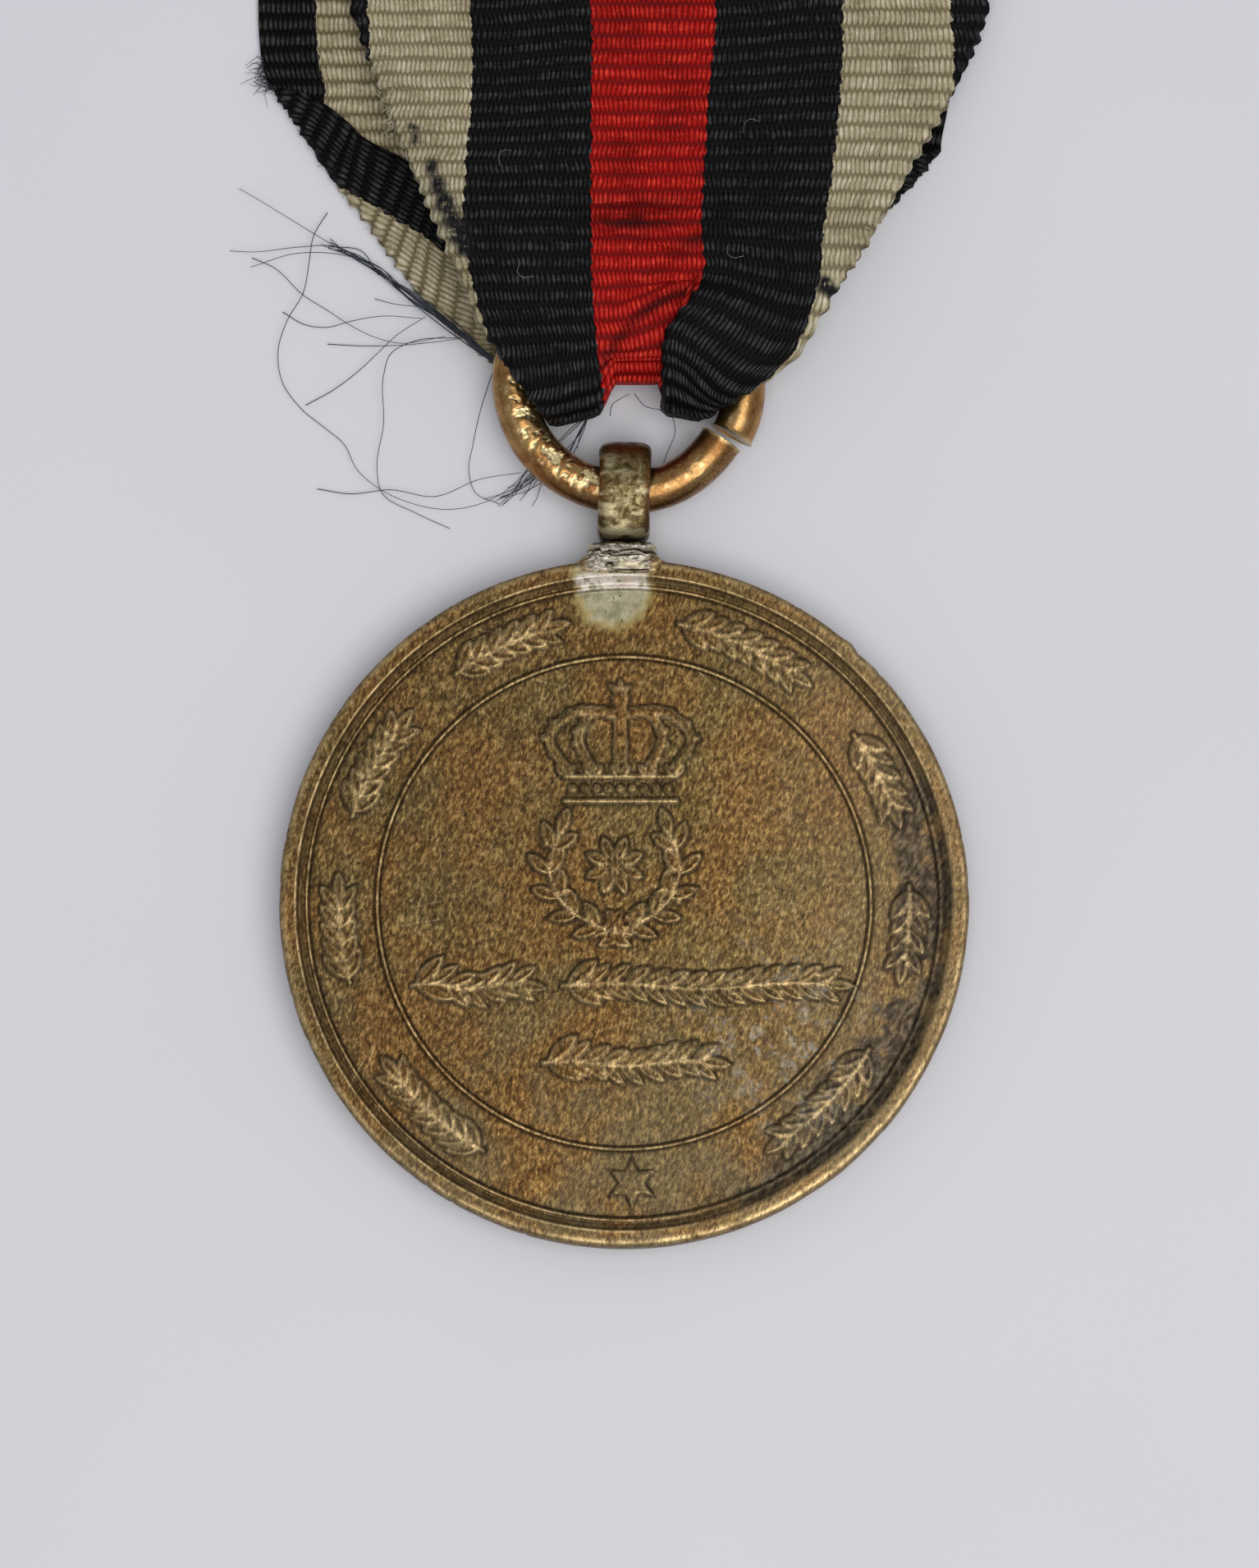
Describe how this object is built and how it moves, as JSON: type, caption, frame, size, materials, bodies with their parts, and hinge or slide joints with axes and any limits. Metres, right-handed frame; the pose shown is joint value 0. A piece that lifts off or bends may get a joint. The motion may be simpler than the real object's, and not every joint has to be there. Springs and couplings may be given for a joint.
{
  "type": "campaign medal",
  "caption": "Struck bronze campaign medal with a soldered eye and split ring, hung on a folded striped grosgrain ribbon, lying on its back.",
  "frame": {"origin": "centre of the disc's back, on the plain boss of the reverse", "axes": "+Z out of the obverse, +Y from the disc up the ribbon, +X to the right seen from the front; the medal lies on its back on the plane z = 0"},
  "size_m": [0.0316, 0.0865, 0.0039],
  "materials": {
    "bronze_disc": "worn brown bronze patina",
    "eye_metal": "mottled tinned brass",
    "solder": "rough dull solder",
    "ring_wire": "scratched coppery gold",
    "ribbon_cloth": "ribbed silk, striped black, white and red",
    "thread": "sewing thread"
  },
  "bodies": {
    "ribbon_upper": {"ribbon_front_upper": "ribbon_cloth", "ribbon_back_upper": "ribbon_cloth", "ribbon_stitches": "thread"},
    "ribbon_lower": {"ribbon_front_lower": "ribbon_cloth", "ribbon_back_lower": "ribbon_cloth", "ribbon_bight": "ribbon_cloth"},
    "ring": {"suspension_ring": "ring_wire"},
    "medal": {"medal_disc": "bronze_disc", "suspension_eye": "eye_metal", "solder_collar": "solder"}
  },
  "joints": [
    {"name": "ribbon_flex", "type": "hinge", "parent": "ribbon_upper", "child": "ribbon_lower", "pos_m": [0, 0.041, 0.00084], "axis": [-1, 0, 0], "range_deg": [0, 90]},
    {"name": "ring_turn", "type": "hinge", "parent": "ribbon_lower", "child": "ring", "pos_m": [0.00016, 0.02227, 0.00165], "axis": [0, 0, 1], "range_deg": [-15, 15]},
    {"name": "medal_swing", "type": "hinge", "parent": "ring", "child": "medal", "pos_m": [0.00009, 0.01742, 0.00165], "axis": [-1, 0, 0], "range_deg": [0, 110]}
  ]
}
